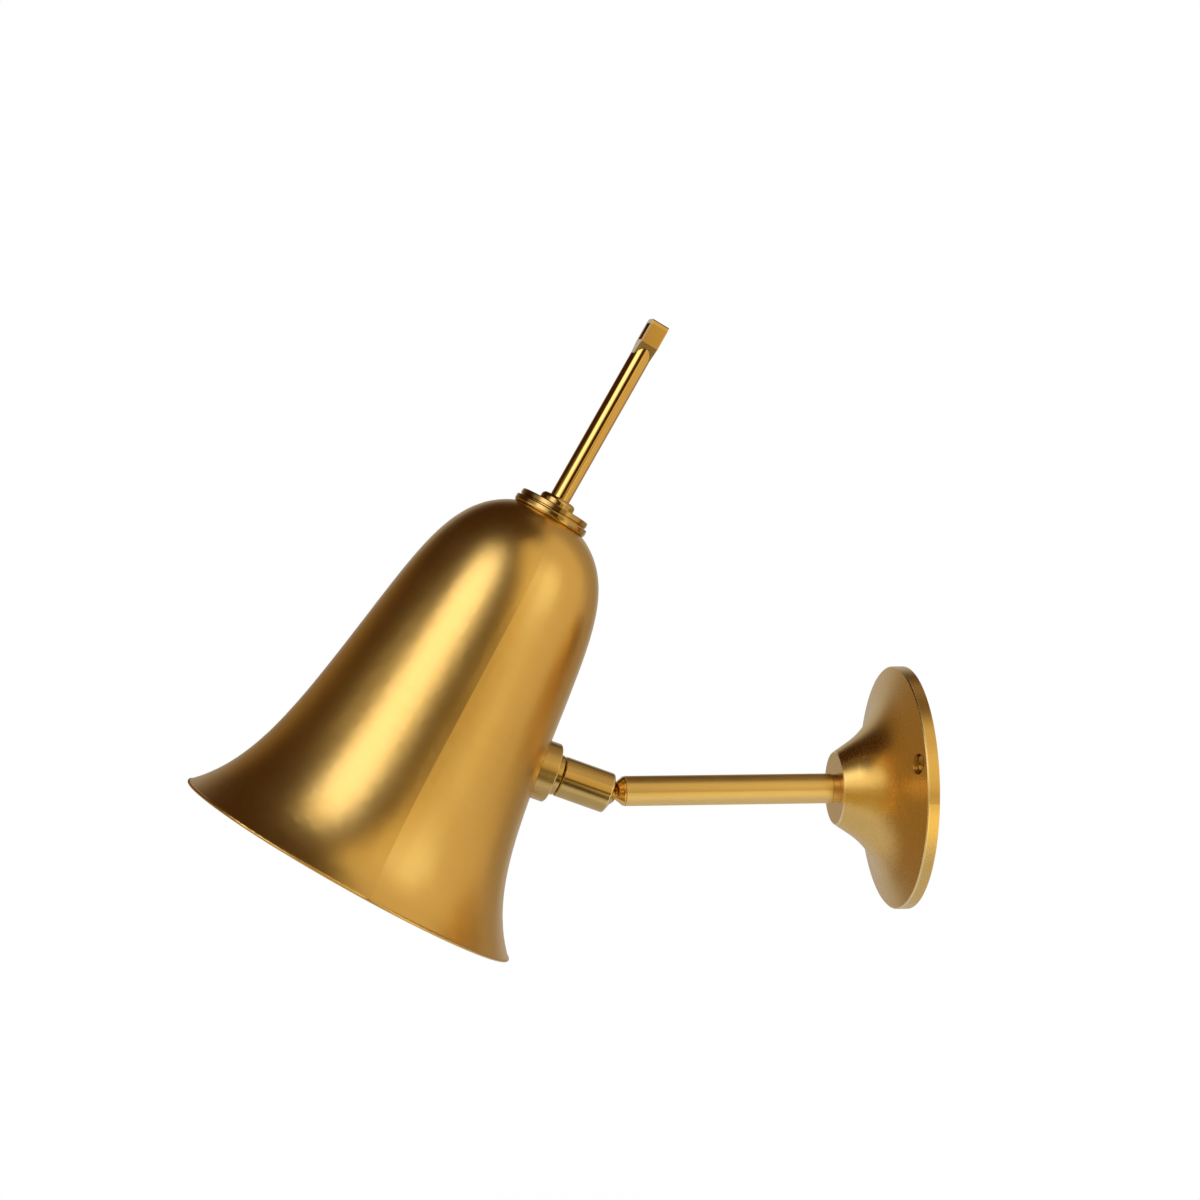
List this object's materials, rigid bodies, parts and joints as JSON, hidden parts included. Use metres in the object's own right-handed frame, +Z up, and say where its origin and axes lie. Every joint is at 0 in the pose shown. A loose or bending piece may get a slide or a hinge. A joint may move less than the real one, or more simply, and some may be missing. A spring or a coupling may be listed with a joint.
{
  "type": "wall sconce",
  "caption": "Brass wall light: a turned rosette, a straight arm, a ball joint that holds a downward bell shade, and a rod with a flat loop on the shade's crown.",
  "frame": {"origin": "centre of the rosette's back, on the wall", "axes": "+Z up, +Y into the wall, so the arm stands out along -Y, +X along the wall"},
  "size_m": [0.176, 0.3521, 0.3088],
  "materials": {
    "satin_brass": "antique brass, satin lacquer, fine turning marks",
    "polished_brass": "antique brass, polished",
    "raw_brass": "plain machined brass",
    "zinc_steel": "zinc plated, dull",
    "spring_steel": "oiled spring steel",
    "black_rubber": "moulded, matt",
    "terminal_plastic": "moulded, matt",
    "seat_plastic": "turned, matt",
    "holder_ceramic": "glazed, glossy",
    "holder_black": "moulded, semi gloss",
    "cap_aluminium": "pressed, bright",
    "frosted_glass": "frosted inside"
  },
  "bodies": {
    "wall": {"wall_rosette": "satin_brass", "wall_bracket": "zinc_steel", "rosette_screws": "raw_brass", "cable_grommet": "black_rubber", "earth_screw": "raw_brass", "terminal_block": "terminal_plastic", "terminal_screws": "zinc_steel", "arm_tube": "satin_brass", "arm_root_plug": "polished_brass", "arm_end_bush": "raw_brass", "arm_nipple": "zinc_steel", "arm_washer": "zinc_steel", "arm_locknut": "raw_brass"},
    "ball": {"ball_stud": "polished_brass", "stud_clip": "spring_steel"},
    "barrel": {"joint_barrel": "satin_brass", "ball_seat": "seat_plastic", "seat_spring": "spring_steel", "barrel_plug": "raw_brass"},
    "shade": {"swivel_spigot": "raw_brass", "spacer_ring": "polished_brass", "shade_boss": "satin_brass", "boss_washer": "zinc_steel", "boss_nut": "raw_brass", "bell_shade": "satin_brass", "lower_cap_disc": "satin_brass", "upper_cap_disc": "satin_brass", "rod_collar": "polished_brass", "top_rod": "satin_brass", "hanging_loop": "satin_brass", "shade_nipple": "zinc_steel", "crown_washer": "zinc_steel", "crown_nut": "raw_brass", "holder_cap": "raw_brass", "holder_core": "holder_ceramic", "holder_sleeve": "holder_black", "screw_shell": "raw_brass", "centre_contact": "raw_brass", "bulb_cap": "cap_aluminium", "bulb_glass": "frosted_glass"}
  },
  "joints": [
    {"name": "ball_turn", "type": "hinge", "parent": "wall", "child": "ball", "pos_m": [0, -0.1518, 0], "axis": [0, 1, 0], "range_deg": [-90, 90]},
    {"name": "shade_tilt", "type": "hinge", "parent": "ball", "child": "barrel", "pos_m": [0, -0.1518, 0], "axis": [1, 0, 0], "range_deg": [-7, 47]},
    {"name": "shade_swivel", "type": "hinge", "parent": "barrel", "child": "shade", "pos_m": [0, -0.1518, 0], "axis": [0, -0.9397, 0.342], "range_deg": [-170, 170]}
  ]
}
